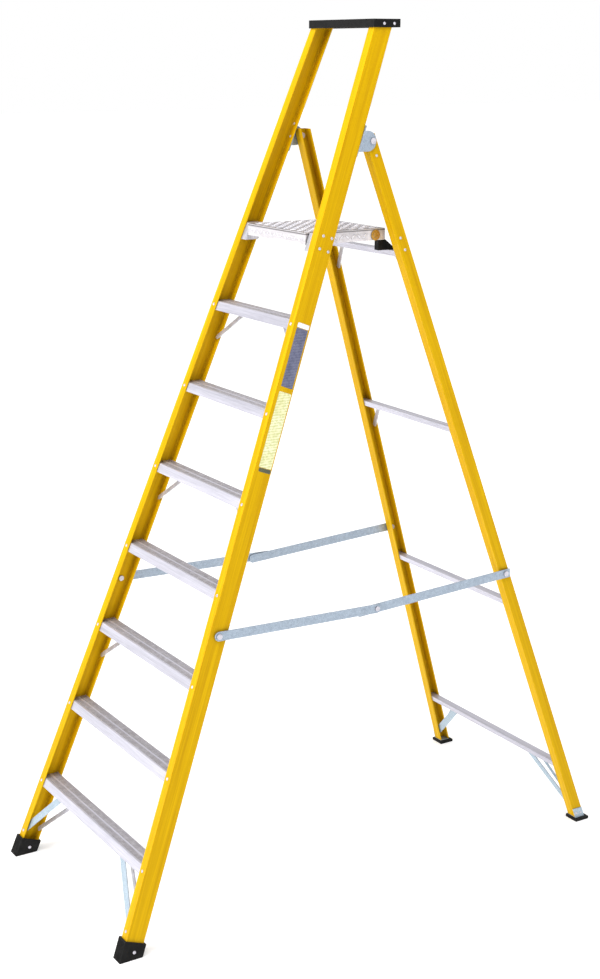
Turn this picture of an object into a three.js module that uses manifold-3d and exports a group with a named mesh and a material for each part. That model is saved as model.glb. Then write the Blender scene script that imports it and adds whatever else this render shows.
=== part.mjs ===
// A swing-back platform step ladder in glass-fibre channel: seven treads and a platform
// between two leaning front stiles, and a lighter rear frame hinged behind them.
// Millimetres. +Z is up, X runs across the ladder, and the climber faces +Y.
// Lengths along Y are worked out from the front flange at floor level, and the whole
// ladder is then moved so that the middle of its footprint is the origin.
import * as THREE from 'three';
import { mergeVertices } from 'three/addons/utils/BufferGeometryUtils.js';
import Module from 'manifold-3d';

// ---- Driving dimensions ------------------------------------------------------------
const treadSpacing = 250;        // from the floor to the first tread, and tread to tread
const treadCount = 7;            // treads below the platform
const handrailRise = 586;        // stile tops above the platform
const frontLean = 20.8;          // degrees from upright, backwards
const rearLean = 18.5;           // degrees from upright, forwards
const frontHalfWidth = 385;      // centre line to the outer web, at the floor
const frontFlare = 0.084;        // how far a front stile moves in for each mm of height
const rearFlare = 0.086;

const stile = { depth: 58, flange: 30, web: 4, wall: 4 };
const rearStile = { depth: 36, flange: 34, web: 4, wall: 3.5 };

const gap = 0.3;                 // clearance between touching pieces
const pinClearance = 0.3;        // radial clearance of a pin in its hole
const sheet = 3;                 // thickness of brackets, braces and stay links
const pinHead = { length: 3.5, step: 3.5 };   // a pin's head, and how far it stands past the pin

const tread = { lip: 26, wall: 2.5, plate: 3.4, groove: 1.1, nosing: 5, ribs: 6, spine: 5 };
const crossbar = { lip: 18, wall: 2.5, plate: 2.8 };
const crossbarHeights = [205, 790, 1370];   // tops of the three lower rear crossbars
const topCrossbarDrop = 78;      // top of the highest one below the platform

const hinge = { rise: 249, setBack: 41.6, setIn: 5.6, pin: 6, plateRadius: 30, plateShift: 18 };
const rearTopRise = 22;          // rear stile top above the hinge pin

const platform = { side: 1, passing: 0.65, depth: 283, front: 8, drop: 10, skirt: 35, wall: 3 };
const platformPivot = { back: 33, drop: 20, pin: 5 };
const platformBracket = { clear: 3.5, height: 50, depth: 46 };
const restHook = { inset: 10, width: 20, overlap: 14, reach: 22, wall: 8 };

const stay = { height: 28, frontPivot: 879, rearPivot: 889, pin: 5, overlap: 58, tail: 16 };
const stayKnuckle = { along: 548, sag: 20, pin: 4 };   // from the front pin, and below the pins' line
const stayLayer = 4.4;           // front stile web to the front link
const stayStep = 1.1;            // between the two links of one stay

const cap = { front: 4.5, back: 28, side: 4, height: 24, top: 9, wall: 4 };
const boot = { wall: 6, sole: 12, height: 60 };
const pad = { height: 9, margin: 8 };
const footBracket = { height: 42, plate: 2.5, margin: 2 };

const braceWidth = 14;
const treadBrace = { reach: 130, fall: 100, below: 14 };
const lowestBrace = { reach: 195, fall: 163, below: 14 };
const frontBrace = { reach: 150, bottom: 88, width: 24, below: 16 };
const rearBrace = { reach: 62, fall: 80, below: 11 };
const footBrace = { reach: 150, bottom: 52, width: 24, below: 16 };

const roundSteps = 16;           // facets of a pin or a hole
const bendSteps = 6;             // facets of a round end
const through = 20;              // how far a cutter passes what it cuts

// ---- Places that follow from them --------------------------------------------------
const tanFront = Math.tan(THREE.MathUtils.degToRad(frontLean));
const tanRear = Math.tan(THREE.MathUtils.degToRad(rearLean));
const cosFront = Math.cos(THREE.MathUtils.degToRad(frontLean));
const cosRear = Math.cos(THREE.MathUtils.degToRad(rearLean));
const frontDepth = stile.depth / cosFront;          // measured level, as the ends are cut
const frontWall = stile.wall / cosFront;
const rearDepth = rearStile.depth / cosRear;
const rearWall = rearStile.wall / cosRear;

const platformHeight = treadSpacing * (treadCount + 1);
const platformTop = platformHeight - platform.drop;
const stileTop = platformHeight + handrailRise;
const hingeHeight = platformHeight + hinge.rise;
const topCrossbar = platformHeight - topCrossbarDrop;

const frontFace = (z) => z * tanFront;
const frontBack = (z) => frontFace(z) + frontDepth;
const frontOuter = (z) => frontHalfWidth - frontFlare * z;
const hingeY = frontBack(hingeHeight) + hinge.setBack;
const rearFloor = hingeY - rearDepth / 2 + hingeHeight * tanRear;
const rearFace = (z) => rearFloor - z * tanRear;
const rearOuter = (z) => frontOuter(hingeHeight) - hinge.setIn + rearFlare * (hingeHeight - z);

// The platform's back edge passes between the rear stiles as it tips up, so the height
// where it passes them sets its width.
const platformHalf = rearOuter(platformTop + platform.passing * platform.depth)
  - rearStile.flange - platform.side;
const platformFront = frontFace(platformTop) - platform.front + gap;
const pivotY = platformFront + platformPivot.back;
const pivotZ = platformTop - platformPivot.drop;

// ---- Materials ---------------------------------------------------------------------
const finish = (color, roughness, metalness) =>
  new THREE.MeshStandardMaterial({ color, roughness, metalness });
const grp = finish(0xf2c200, 0.42, 0);
const aluminium = finish(0xc9c9cd, 0.38, 1);
const zinc = finish(0xa9b6c4, 0.45, 1);
const rubber = finish(0x15140f, 0.75, 0);
const blackPlastic = finish(0x1a1a1a, 0.5, 0);

// ---- Tools -------------------------------------------------------------------------
const wasm = await Module();
wasm.setup();

function solidOf(geometry) {
  const bare = geometry.clone();
  bare.deleteAttribute('normal');
  bare.deleteAttribute('uv');
  const merged = mergeVertices(bare);
  return new wasm.Manifold(new wasm.Mesh({
    numProp: 3,
    vertProperties: new Float32Array(merged.attributes.position.array),
    triVerts: new Uint32Array(merged.index.array),
  }));
}

function geometryOf(solid) {
  const mesh = solid.getMesh();
  const geometry = new THREE.BufferGeometry();
  geometry.setAttribute('position', new THREE.BufferAttribute(mesh.vertProperties, 3));
  geometry.setIndex(new THREE.BufferAttribute(mesh.triVerts, 1));
  geometry.computeVertexNormals();
  return geometry;
}

const cut = (geometry, ...tools) => geometryOf(
  tools.reduce((solid, tool) => solid.subtract(solidOf(tool)), solidOf(geometry)));
const join = (geometry, ...others) => geometryOf(
  others.reduce((solid, other) => solid.add(solidOf(other)), solidOf(geometry)));

function box(x0, x1, y0, y1, z0, z1) {
  const geometry = new THREE.BoxGeometry(x1 - x0, y1 - y0, z1 - z0);
  return geometry.translate((x0 + x1) / 2, (y0 + y1) / 2, (z0 + z1) / 2);
}

// A plan outline in X and Y, raised from z0 to z1.
function upright(points, z0, z1) {
  const shape = new THREE.Shape(points.map(([x, y]) => new THREE.Vector2(x, y)));
  const geometry = new THREE.ExtrudeGeometry(shape, { depth: z1 - z0, bevelEnabled: false });
  return geometry.translate(0, 0, z0);
}

// A side outline in Y and Z, carried across from x0 to x1.
function across(shape, x0, x1) {
  const geometry = new THREE.ExtrudeGeometry(
    shape, { depth: x1 - x0, bevelEnabled: false, curveSegments: bendSteps });
  const turn = new THREE.Matrix4().makeBasis(
    new THREE.Vector3(0, 1, 0), new THREE.Vector3(0, 0, 1), new THREE.Vector3(1, 0, 0));
  return geometry.applyMatrix4(turn).translate(x0, 0, 0);
}

const outline = (points) => new THREE.Shape(points.map(([y, z]) => new THREE.Vector2(y, z)));

// Leans a piece with its frame: x and y move by the given share of its height.
const lean = (geometry, x, y) => geometry.applyMatrix4(
  new THREE.Matrix4().makeShear(0, 0, 0, 0, x, y));

// A round bar along X, from a list of [length, radius] steps starting at x0.
function turned(x0, y, z, steps) {
  const points = [new THREE.Vector2(0, 0)];
  let at = 0;
  for (const [length, radius] of steps) {
    points.push(new THREE.Vector2(radius, at), new THREE.Vector2(radius, at + length));
    at += length;
  }
  points.push(new THREE.Vector2(0, at));
  const geometry = new THREE.LatheGeometry(points, roundSteps);
  return geometry.rotateZ(-Math.PI / 2).translate(x0, y, z);
}

// A cutter for a pin's hole, reaching past both sides of x0 to x1.
const drill = (x0, x1, y, z, radius) => turned(
  x0 - through, y, z, [[x1 - x0 + 2 * through, radius + pinClearance]]);

// A flat bar with round ends from one point to another, its flat side facing along normal.
function strip(from, to, width, thickness, normal) {
  const length = from.distanceTo(to);
  const half = width / 2;
  const shape = new THREE.Shape();
  shape.moveTo(0, -half);
  shape.lineTo(length, -half);
  shape.absarc(length, 0, half, -Math.PI / 2, Math.PI / 2);
  shape.lineTo(0, half);
  shape.absarc(0, 0, half, Math.PI / 2, Math.PI * 1.5);
  const geometry = new THREE.ExtrudeGeometry(
    shape, { depth: thickness, bevelEnabled: false, curveSegments: bendSteps });
  geometry.translate(0, 0, -thickness / 2);
  const along = to.clone().sub(from).normalize();
  const side = new THREE.Vector3().crossVectors(normal, along).normalize();
  const out = new THREE.Vector3().crossVectors(along, side);
  const place = new THREE.Matrix4().makeBasis(along, side, out);
  return geometry.applyMatrix4(place).translate(from.x, from.y, from.z);
}

const ladder = new THREE.Group();

function piece(name, geometry, material) {
  const mesh = new THREE.Mesh(geometry, material);
  mesh.name = name;
  ladder.add(mesh);
  return mesh;
}

// The same piece on both sides: drawn for the right, mirrored for the left.
function pair(name, geometry, material) {
  piece(`${name}_right`, geometry, material);
  piece(`${name}_left`, geometry, material).scale.x = -1;
}

// A channel standing on the floor plane with its open side towards the centre line.
function channel(outer, depth, flange, web, wall, z0, z1) {
  const tip = outer - flange;
  const points = [
    [outer, 0], [outer, depth], [tip, depth], [tip, depth - wall],
    [outer - web, depth - wall], [outer - web, wall], [tip, wall], [tip, 0],
  ];
  return upright(points, z0, z1);
}

// ---- Front frame -------------------------------------------------------------------
const frontStayY = frontFace(stay.frontPivot) + frontDepth / 2;

function frontStile() {
  const bottom = boot.sole + gap;
  const bare = lean(
    channel(frontHalfWidth, frontDepth, stile.flange, stile.web, frontWall, bottom, stileTop),
    -frontFlare, tanFront);
  const outer = frontOuter(stay.frontPivot);
  return cut(bare, drill(outer - stile.web, outer, frontStayY, stay.frontPivot, stay.pin));
}

// Ribbed top of a tread, as [y, z] points from its front edge to its back edge.
function ribbedTop(width) {
  const band = (width - 2 * tread.nosing - tread.spine) / 2;
  const pitch = band / tread.ribs;
  const points = [];
  for (const start of [tread.nosing, tread.nosing + band + tread.spine]) {
    for (let i = 0; i < tread.ribs; i += 1) {
      const near = start + i * pitch + pitch / 4;
      const far = near + pitch / 2;
      points.push([near, 0], [near, -tread.groove], [far, -tread.groove], [far, 0]);
    }
  }
  return points;
}

function treadPiece(height) {
  const front = frontWall + gap;
  const width = frontDepth - 2 * front;
  const points = [
    [0, -tread.lip], [0, 0], ...ribbedTop(width), [width, 0], [width, -tread.lip],
    [width - tread.wall, -tread.lip], [width - tread.wall, -tread.plate],
    [tread.wall, -tread.plate], [tread.wall, -tread.lip],
  ].map(([y, z]) => [y + front, z + height]);
  const half = frontOuter(height) - stile.web - gap;
  return lean(across(outline(points.reverse()), -half, half), 0, tanFront);
}

const frontNormal = new THREE.Vector3(0, cosFront, -tanFront * cosFront);

// A brace in the plane of the back flange, from the stile up to the tread's back lip.
function treadBracePiece(height, brace) {
  const inside = frontDepth - frontWall - tread.wall - 3 * gap - sheet / 2;
  const topZ = height - brace.below;
  const bottomZ = topZ - brace.fall;
  const stileX = frontOuter(bottomZ) - stile.flange + braceWidth / 2;
  const bottom = new THREE.Vector3(stileX, frontFace(bottomZ) + inside, bottomZ);
  const top = new THREE.Vector3(stileX - brace.reach, frontFace(topZ) + inside, topZ);
  return strip(bottom, top, braceWidth, sheet, frontNormal);
}

// A wide brace behind the front flange, from the stile up to the first tread's front lip.
function frontBracePiece() {
  const inside = frontWall + tread.wall + 3 * gap + sheet / 2;
  const topZ = treadSpacing - frontBrace.below;
  const stileX = frontOuter(frontBrace.bottom) - stile.flange + frontBrace.width / 2;
  const bottom = new THREE.Vector3(
    stileX, frontFace(frontBrace.bottom) + inside, frontBrace.bottom);
  const top = new THREE.Vector3(stileX - frontBrace.reach, frontFace(topZ) + inside, topZ);
  return strip(bottom, top, frontBrace.width, sheet, frontNormal);
}

// A rubber boot: its sole is level and its top edge is square to the stile.
function bootPiece() {
  const around = boot.wall + gap;
  const back = frontDepth + around;
  const fall = (back + around) * tanFront * cosFront * cosFront;
  const sides = outline([
    [-around, 0], [back, 0], [back, boot.height - fall], [-around, boot.height],
  ]);
  const x0 = frontHalfWidth - stile.flange - around;
  const x1 = frontHalfWidth + around;
  const outside = lean(across(sides, x0, x1), -frontFlare, tanFront);
  const recess = lean(box(
    frontHalfWidth - stile.flange - gap, frontHalfWidth + gap,
    -gap, frontDepth + gap, boot.sole, boot.height + through), -frontFlare, tanFront);
  return cut(outside, recess);
}

// A flat cap with a skirt, resting on both stile tops.
function capPiece() {
  const top = stileTop + gap + cap.top;
  const bottom = top - cap.height;
  const half = frontOuter(bottom) + cap.side;
  const y0 = frontFace(bottom) - cap.front;
  const y1 = frontBack(bottom) + cap.back;
  const hollow = box(
    -half + cap.wall - gap, half - cap.wall + gap, y0 + cap.wall, y1 - cap.wall,
    bottom - through, stileTop + gap);
  return cut(box(-half, half, y0, y1, bottom, top), hollow);
}

// The hinge bracket: one leg on the back flange, and a round-ended leaf behind it.
// The folding stile swings past the leaf's lower edge, and it is wider there than at the pin.
const swingReach = Math.hypot(
  hinge.plateRadius / cosFront + rearStile.depth / 2 * tanFront, rearStile.depth / 2);
const leafX = rearOuter(hingeHeight - swingReach) + gap;

function hingeBracket() {
  const radius = hinge.plateRadius;
  const centre = hingeY - hinge.plateShift;
  const low = hingeHeight - radius;
  const high = hingeHeight + radius;
  const leaf = new THREE.Shape();
  leaf.moveTo(frontBack(low) + gap, low);
  leaf.lineTo(centre, low);
  leaf.absarc(centre, hingeHeight, radius, -Math.PI / 2, Math.PI / 2);
  leaf.lineTo(frontBack(high) + gap, high);
  const tip = frontOuter(hingeHeight) - stile.flange;
  const leg = lean(box(
    tip + sheet, leafX + sheet, frontDepth + gap, frontDepth + gap + sheet,
    low - radius / 2, high + radius / 2), 0, tanFront);
  return cut(
    join(across(leaf, leafX, leafX + sheet), leg),
    drill(leafX, leafX + sheet, hingeY, hingeHeight, hinge.pin));
}

function hingePin() {
  const headRadius = hinge.pin + pinHead.step;
  const innerHead = rearOuter(hingeHeight) - rearStile.web - rearFlare * headRadius - gap;
  return turned(innerHead - pinHead.length, hingeY, hingeHeight, [
    [pinHead.length, headRadius], [leafX + sheet + gap - innerHead, hinge.pin],
    [pinHead.length, headRadius],
  ]);
}

// A folded bracket in the channel, which carries the platform's pivot.
const bracketX = platformHalf + platformBracket.clear;

function platformBracketPiece() {
  const top = platformTop;
  const bottom = top - platformBracket.height;
  const outer = frontOuter(top) - stile.web - gap;
  const front = frontWall + gap;
  const back = front + platformBracket.depth;
  const body = lean(box(bracketX, outer, front, back, bottom, top), 0, tanFront);
  const hollow = lean(box(
    bracketX + sheet, outer - sheet, front + sheet, back + through,
    bottom - through, top - sheet), 0, tanFront);
  const hole = turned(
    bracketX - sheet, pivotY, pivotZ, [[3 * sheet, platformPivot.pin + pinClearance]]);
  return cut(body, hollow, hole);
}

function platformPin() {
  const headRadius = platformPivot.pin + pinHead.step;
  const innerHead = platformHalf - platform.wall - gap;
  return turned(innerHead - pinHead.length, pivotY, pivotZ, [
    [pinHead.length, headRadius], [bracketX + sheet + gap - innerHead, platformPivot.pin],
    [pinHead.length, headRadius],
  ]);
}

for (let i = 1; i <= treadCount; i += 1) {
  piece(`tread_${i}`, treadPiece(i * treadSpacing), aluminium);
}
for (let i = 1; i <= treadCount; i += 2) {
  const brace = i === 1 ? lowestBrace : treadBrace;
  pair(`tread_brace_${i}`, treadBracePiece(i * treadSpacing, brace), aluminium);
}
pair('front_stile', frontStile(), grp);
pair('front_boot', bootPiece(), rubber);
pair('front_brace', frontBracePiece(), zinc);
pair('hinge_bracket', hingeBracket(), zinc);
pair('hinge_pin', hingePin(), zinc);
pair('platform_bracket', platformBracketPiece(), aluminium);
pair('platform_pin', platformPin(), zinc);
piece('top_cap', capPiece(), blackPlastic);

// ---- Platform ----------------------------------------------------------------------
function platformPlate() {
  const half = platformHalf;
  const back = platformFront + platform.depth;
  const bottom = platformTop - platform.skirt;
  const tray = cut(
    box(-half, half, platformFront, back, bottom, platformTop),
    box(
      -half + platform.wall, half - platform.wall, platformFront + platform.wall,
      back - platform.wall, bottom - through, platformTop - platform.wall));
  return cut(tray, drill(-half, half, pivotY, pivotZ, platformPivot.pin));
}

// A hook under the platform's back edge, which rests on the top rear crossbar.
function restHookPiece() {
  const back = platformFront + platform.depth - platform.wall - gap;
  const under = platformTop - platform.wall - gap;
  const seat = topCrossbar + gap;
  const reach = rearFace(seat) + restHook.reach;
  const mouth = platformTop - platform.skirt - gap;
  const sides = outline([
    [back - restHook.overlap, seat], [reach, seat], [reach, seat + restHook.wall],
    [back + platform.wall + 2 * gap + restHook.wall, mouth], [back, mouth], [back, under],
    [back - restHook.overlap, under],
  ]);
  const outer = platformHalf - restHook.inset;
  return across(sides, outer - restHook.width, outer);
}

piece('platform_plate', platformPlate(), aluminium);
pair('platform_rest', restHookPiece(), blackPlastic);

// ---- Rear frame --------------------------------------------------------------------
const rearStayY = rearFace(stay.rearPivot) + rearDepth / 2;
const padTop = pad.height;
const footSeat = padTop + gap + footBracket.plate;
const rearFloorHalf = rearOuter(0);

function rearStilePiece() {
  const bare = lean(channel(
    rearFloorHalf, rearDepth, rearStile.flange, rearStile.web, rearWall,
    footSeat + gap, hingeHeight + rearTopRise), -rearFlare, -tanRear).translate(0, rearFloor, 0);
  const outer = rearOuter(stay.rearPivot);
  const top = rearOuter(hingeHeight);
  return cut(
    bare, drill(outer - rearStile.web, outer, rearStayY, stay.rearPivot, stay.pin),
    drill(top - rearStile.web, top, hingeY, hingeHeight, hinge.pin));
}

function crossbarPiece(height) {
  const front = rearWall + gap;
  const width = rearDepth - 2 * front;
  const points = [
    [0, -crossbar.lip], [crossbar.wall, -crossbar.lip], [crossbar.wall, -crossbar.plate],
    [width - crossbar.wall, -crossbar.plate], [width - crossbar.wall, -crossbar.lip],
    [width, -crossbar.lip], [width, 0], [0, 0],
  ].map(([y, z]) => [y + front, z + height]);
  const half = rearOuter(height) - rearStile.web - gap;
  return lean(across(outline(points), -half, half), 0, -tanRear).translate(0, rearFloor, 0);
}

const rearNormal = new THREE.Vector3(0, cosRear, tanRear * cosRear);

// A short brace inside the back flange, from the stile up to the crossbar's back lip.
function rearBracePiece(height) {
  const inside = rearDepth - rearWall - crossbar.wall - 3 * gap - sheet / 2;
  const topZ = height - rearBrace.below;
  const bottomZ = topZ - rearBrace.fall;
  const stileX = rearOuter(bottomZ) - rearStile.flange + braceWidth / 2;
  const bottom = new THREE.Vector3(stileX, rearFace(bottomZ) + inside, bottomZ);
  const top = new THREE.Vector3(stileX - rearBrace.reach, rearFace(topZ) + inside, topZ);
  return strip(bottom, top, braceWidth, sheet, rearNormal);
}

// A wide brace behind the front flange, from above the foot up to the lowest crossbar.
function footBracePiece() {
  const inside = rearWall + crossbar.wall + 3 * gap + sheet / 2;
  const topZ = crossbarHeights[0] - footBrace.below;
  const stileX = rearOuter(footBrace.bottom) - rearStile.flange + footBrace.width / 2;
  const bottom = new THREE.Vector3(
    stileX, rearFace(footBrace.bottom) + inside, footBrace.bottom);
  const top = new THREE.Vector3(stileX - footBrace.reach, rearFace(topZ) + inside, topZ);
  return strip(bottom, top, footBrace.width, sheet, rearNormal);
}

function rearPad() {
  const x0 = rearFloorHalf - rearStile.flange - pad.margin;
  const x1 = rearFloorHalf + footBracket.plate + pad.margin;
  const y0 = rearFloor - pad.margin;
  const y1 = rearFloor + rearDepth + pad.margin;
  return box(x0, x1, y0, y1, 0, padTop);
}

// An angle under the stile's end and up its outer side.
function footBracketPiece() {
  const inner = rearFloorHalf - rearStile.flange + footBracket.margin;
  const seatZ = padTop + gap;
  const web = rearFloorHalf + gap;
  const points = [
    [inner, seatZ], [web + footBracket.plate, seatZ],
    [web + footBracket.plate, footBracket.height], [web, footBracket.height],
    [web, footSeat], [inner, footSeat],
  ];
  const shape = new THREE.Shape(points.map(([x, z]) => new THREE.Vector2(x, z)));
  const geometry = new THREE.ExtrudeGeometry(shape, { depth: rearDepth, bevelEnabled: false });
  geometry.rotateX(Math.PI / 2).translate(0, rearDepth, 0);
  return lean(geometry, -rearFlare, -tanRear).translate(0, rearFloor, 0);
}

pair('rear_stile', rearStilePiece(), grp);
[...crossbarHeights, topCrossbar].forEach((height, i) => {
  piece(`rear_crossbar_${i + 1}`, crossbarPiece(height), aluminium);
});
pair('rear_brace_upper', rearBracePiece(topCrossbar), aluminium);
pair('rear_brace_middle', rearBracePiece(crossbarHeights[2]), aluminium);
pair('rear_foot_brace', footBracePiece(), zinc);
pair('rear_foot_bracket', footBracketPiece(), zinc);
pair('rear_foot_pad', rearPad(), rubber);

// ---- Folding stays -----------------------------------------------------------------
// The knuckle of an open stay hangs just below the line between its two end pins.
const stayFrontX = frontOuter(stay.frontPivot) + stayLayer;
const stayRearX = stayFrontX - stayStep - sheet;
const frontPin = new THREE.Vector2(frontStayY, stay.frontPivot);
const rearPin = new THREE.Vector2(rearStayY, stay.rearPivot);
const alongUnit = rearPin.clone().sub(frontPin).normalize();
const knuckle = frontPin.clone()
  .addScaledVector(alongUnit, stayKnuckle.along)
  .addScaledVector(new THREE.Vector2(alongUnit.y, -alongUnit.x), stayKnuckle.sag);

// A flat link in the side plane, with a round nose past its start.
function link(from, to, before, after, squareEnd, x0) {
  const half = stay.height / 2;
  const length = from.distanceTo(to);
  const shape = new THREE.Shape();
  shape.moveTo(-before, -half);
  shape.lineTo(length + after, -half);
  if (squareEnd) {
    shape.lineTo(length + after, half);
  } else {
    shape.absarc(length + after, 0, half, -Math.PI / 2, Math.PI / 2);
  }
  shape.lineTo(-before, half);
  shape.absarc(-before, 0, half, Math.PI / 2, Math.PI * 1.5);
  const geometry = across(shape, x0, x0 + sheet);
  geometry.rotateX(Math.atan2(to.y - from.y, to.x - from.x));
  return geometry.translate(0, from.x, from.y);
}

const holeIn = (linkX, pin, radius) => drill(linkX, linkX + sheet, pin.x, pin.y, radius);
const atFrontPin = holeIn(stayFrontX, frontPin, stay.pin);
const atRearPin = holeIn(stayRearX, rearPin, stay.pin);
const atKnuckle = holeIn(stayFrontX, knuckle, stayKnuckle.pin);

const frontLink = cut(link(frontPin, knuckle, 0, 0, false, stayFrontX), atFrontPin, atKnuckle);
const rearLink = cut(link(knuckle, rearPin, stay.overlap, stay.tail, true, stayRearX), atRearPin);
pair('stay_front_link', frontLink, zinc);
pair('stay_rear_link', rearLink, zinc);

// A shouldered pin through a web and a link: the collar keeps the link off the web.
function stayPin(y, z, webOuter, web, flare, linkX) {
  const headRadius = stay.pin + pinHead.step;
  const slope = flare * headRadius + gap;
  const innerHead = webOuter - web - slope;
  const collar = webOuter + slope;
  return turned(innerHead - pinHead.length, y, z, [
    [pinHead.length, headRadius], [collar - innerHead, stay.pin],
    [linkX - gap - collar, headRadius], [sheet + 2 * gap, stay.pin],
    [pinHead.length, headRadius],
  ]);
}

pair('stay_front_pin', stayPin(
  frontPin.x, frontPin.y, frontOuter(frontPin.y), stile.web, frontFlare, stayFrontX), zinc);
pair('stay_rear_pin', stayPin(
  rearPin.x, rearPin.y, rearOuter(rearPin.y), rearStile.web, rearFlare, stayRearX), zinc);
pair('stay_knuckle_pin', turned(stayFrontX - gap, knuckle.x, knuckle.y, [
  [sheet + 2 * gap, stayKnuckle.pin], [pinHead.length, stayKnuckle.pin + pinHead.step],
]), zinc);

// ---- Place the ladder over its footprint -------------------------------------------
const extent = new THREE.Box3().setFromObject(ladder);
ladder.position.y = -(extent.min.y + extent.max.y) / 2;

export default ladder;
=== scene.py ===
import math

import bpy
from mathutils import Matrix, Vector


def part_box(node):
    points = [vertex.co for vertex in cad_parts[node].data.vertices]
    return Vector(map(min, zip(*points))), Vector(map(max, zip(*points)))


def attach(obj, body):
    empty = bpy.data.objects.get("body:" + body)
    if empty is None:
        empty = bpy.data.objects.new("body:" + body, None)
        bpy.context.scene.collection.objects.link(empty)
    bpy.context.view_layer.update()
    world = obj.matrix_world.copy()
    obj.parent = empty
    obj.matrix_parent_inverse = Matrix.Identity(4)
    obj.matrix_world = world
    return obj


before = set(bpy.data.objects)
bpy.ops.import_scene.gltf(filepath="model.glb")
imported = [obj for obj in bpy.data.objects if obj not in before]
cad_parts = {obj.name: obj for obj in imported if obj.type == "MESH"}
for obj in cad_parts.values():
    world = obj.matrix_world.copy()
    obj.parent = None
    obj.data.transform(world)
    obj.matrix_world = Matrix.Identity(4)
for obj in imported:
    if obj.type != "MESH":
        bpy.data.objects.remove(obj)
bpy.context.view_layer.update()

# ---- slopes and walls the details sit on, in metres
FRONT_ANGLE = math.radians(20.8)
REAR_ANGLE = math.radians(18.5)
FRONT_LEAN = math.tan(FRONT_ANGLE)
REAR_LEAN = math.tan(REAR_ANGLE)
FRONT_FLARE = 0.084
REAR_FLARE = 0.086
STILE_WALL = 0.004
STILE_DEPTH = 0.058 / math.cos(FRONT_ANGLE)
PROUD = 0.0002

TREADS = [n for n in sorted(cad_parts) if n.startswith("tread_") and "brace" not in n]
CROSSBARS = [n for n in sorted(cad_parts) if n.startswith("rear_crossbar_")]

front_low, front_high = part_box("front_stile_right")
rear_low, rear_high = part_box("rear_stile_right")


def front_face(z):
    """y of the front stile's front flange at height z."""
    return front_low.y + (z - front_low.z) * FRONT_LEAN


def front_side(z):
    """x of the right front stile's outer web at height z."""
    return front_high.x - (z - front_low.z) * FRONT_FLARE


def rear_face(z):
    """y of the rear stile's back flange at height z."""
    return rear_high.y - (z - rear_low.z) * REAR_LEAN


def rear_side(z):
    """x of the right rear stile's outer web at height z."""
    return rear_high.x - (z - rear_low.z) * REAR_FLARE


FRONT_OUT = Vector((1, 0, FRONT_FLARE)).normalized()
REAR_OUT = Vector((1, 0, REAR_FLARE)).normalized()
FORWARD = Vector((0, -1, FRONT_LEAN)).normalized()
BACKWARD = Vector((0, 1, REAR_LEAN)).normalized()
UP = Vector((0, 0, 1))
OUTWARD = Vector((1, 0, 0))


# ---- colours and node helpers
def tone(red, green, blue):
    """A colour as the eye reads it, 0 to 255, in the linear numbers that a shader takes."""

    def linear(level):
        share = level / 255
        return ((share + 0.055) / 1.055) ** 2.4 if share > 0.04 else share / 12.92

    return (linear(red), linear(green), linear(blue), 1.0)


def place(tree, kind, inputs=None, **settings):
    """A node with its settings, and each input linked to a socket or set to a value."""
    node = tree.nodes.new(kind)
    for name, value in settings.items():
        setattr(node, name, value)
    for key, value in (inputs or {}).items():
        socket = node.inputs[key]
        if isinstance(value, bpy.types.NodeSocket):
            tree.links.new(value, socket)
        else:
            socket.default_value = value
    return node


def sums(tree, operation, a, b=0.0, clamp=False):
    return place(tree, "ShaderNodeMath", {0: a, 1: b}, operation=operation, use_clamp=clamp).outputs[0]


def product(tree, *masks):
    """Masks from 0 to 1 multiplied together."""
    result = masks[0]
    for mask in masks[1:]:
        result = sums(tree, "MULTIPLY", result, mask, clamp=True)
    return result


def spread(tree, value, low, high, to_low=0.0, to_high=1.0):
    """value's range low..high stretched to to_low..to_high, and held there."""
    node = place(
        tree,
        "ShaderNodeMapRange",
        {"Value": value, "From Min": low, "From Max": high, "To Min": to_low, "To Max": to_high},
    )
    return node.outputs["Result"]


def blended(tree, share, under, over):
    return place(tree, "ShaderNodeMix", {0: share, 6: under, 7: over}, data_type="RGBA").outputs[2]


def noise(tree, vector, scale, detail=3.0, rough=0.55):
    node = place(
        tree,
        "ShaderNodeTexNoise",
        {"Vector": vector, "Scale": scale, "Detail": detail, "Roughness": rough},
    )
    return node.outputs["Fac"]


def object_spot(tree):
    """Where a point of the piece is, in the frame's own metres."""
    return place(tree, "ShaderNodeTexCoord").outputs["Object"]


def axes_of(tree, vector):
    return place(tree, "ShaderNodeSeparateXYZ", {0: vector}).outputs


def facing_up(tree):
    """1 on a face that looks straight up, 0 on an upright one."""
    return axes_of(tree, place(tree, "ShaderNodeNewGeometry").outputs["Normal"])[2]


def start_group(name, inputs, outputs):
    """An effect with named inputs and outputs: the group, its input node and its output node."""
    group = bpy.data.node_groups.new(name, "ShaderNodeTree")
    for label, value in inputs.items():
        kind = "NodeSocketVector" if isinstance(value, tuple) else "NodeSocketFloat"
        socket = group.interface.new_socket(label, in_out="INPUT", socket_type=kind)
        socket.default_value = value
    for label in outputs:
        group.interface.new_socket(label, in_out="OUTPUT", socket_type="NodeSocketFloat")
    return group, group.nodes.new("NodeGroupInput"), group.nodes.new("NodeGroupOutput")


def stretched(group, vector, stretch):
    return place(group, "ShaderNodeVectorMath", {0: vector, 1: stretch}, operation="MULTIPLY").outputs[0]


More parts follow.
